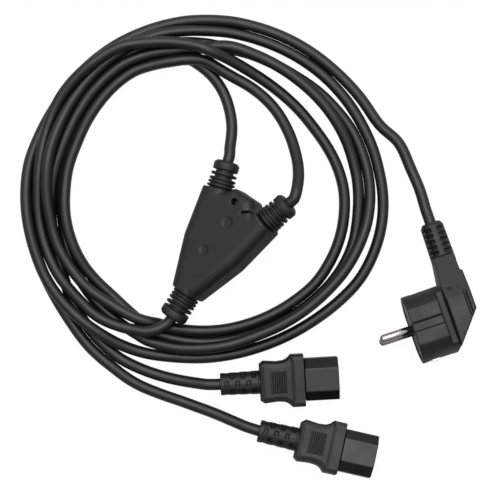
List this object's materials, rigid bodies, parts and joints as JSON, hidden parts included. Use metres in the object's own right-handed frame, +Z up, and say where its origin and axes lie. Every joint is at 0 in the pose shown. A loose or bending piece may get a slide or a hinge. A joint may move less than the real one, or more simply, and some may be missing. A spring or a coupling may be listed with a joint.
{
  "type": "power cord splitter",
  "caption": "Y-shaped mains cord splitter: an angled earthed plug feeds a moulded block, from which cords run to female appliance connectors, all in a loose coil.",
  "frame": {"origin": "under the middle of the moulded block's bounding box, on the table", "axes": "+X to the right and +Y to the top as the coil is seen from above, +Z up from the table; the block's own axis is 32.5 degrees right of +Y"},
  "size_m": [0.2545, 0.2652, 0.038],
  "materials": {
    "black_pvc": "fine moulded grain, satin",
    "grey_plastic": "moulded",
    "brass": "plain brass",
    "brown_insulation": "extruded",
    "green_insulation": "extruded, its yellow stripe left off",
    "blue_insulation": "extruded",
    "black_hard_plastic": "smooth moulded",
    "nickel_plate": "bright nickel plate"
  },
  "bodies": {
    "root": {"splitter_body": "black_pvc", "supply_strain_relief": "black_pvc", "supply_sheath_in_block": "black_pvc", "left_output_strain_relief": "black_pvc", "left_output_sheath_in_block": "black_pvc", "right_output_strain_relief": "black_pvc", "right_output_sheath_in_block": "black_pvc", "splice_tray": "grey_plastic", "live_splice": "brass", "supply_live_core": "brown_insulation", "left_output_live_core": "brown_insulation", "right_output_live_core": "brown_insulation", "earth_splice": "brass", "supply_earth_core": "green_insulation", "left_output_earth_core": "green_insulation", "right_output_earth_core": "green_insulation", "neutral_splice": "brass", "supply_neutral_core": "blue_insulation", "left_output_neutral_core": "blue_insulation", "right_output_neutral_core": "blue_insulation", "plug_body": "black_pvc", "pin_bridge": "black_hard_plastic", "live_pin": "nickel_plate", "neutral_pin": "nickel_plate", "earth_strap": "nickel_plate", "earth_socket": "nickel_plate", "supply_sheath_in_plug": "black_pvc", "plug_live_core": "brown_insulation", "plug_earth_core": "green_insulation", "plug_neutral_core": "blue_insulation", "upper_connector_hood": "black_pvc", "upper_connector_nose": "black_hard_plastic", "upper_connector_live_contact": "brass", "upper_connector_neutral_contact": "brass", "upper_connector_earth_contact": "brass", "upper_connector_sheath_end": "black_pvc", "upper_connector_live_core": "brown_insulation", "upper_connector_neutral_core": "blue_insulation", "upper_connector_earth_core": "green_insulation", "lower_connector_hood": "black_pvc", "lower_connector_nose": "black_hard_plastic", "lower_connector_live_contact": "brass", "lower_connector_neutral_contact": "brass", "lower_connector_earth_contact": "brass", "lower_connector_sheath_end": "black_pvc", "lower_connector_live_core": "brown_insulation", "lower_connector_neutral_core": "blue_insulation", "lower_connector_earth_core": "green_insulation", "left_output_cord_start": "black_pvc", "right_output_cord_start": "black_pvc", "supply_cord_end": "black_pvc", "left_output_cord_end": "black_pvc", "right_output_cord_end": "black_pvc", "supply_cord_start": "black_pvc", "cord_coil": "black_pvc"}
  },
  "joints": []
}
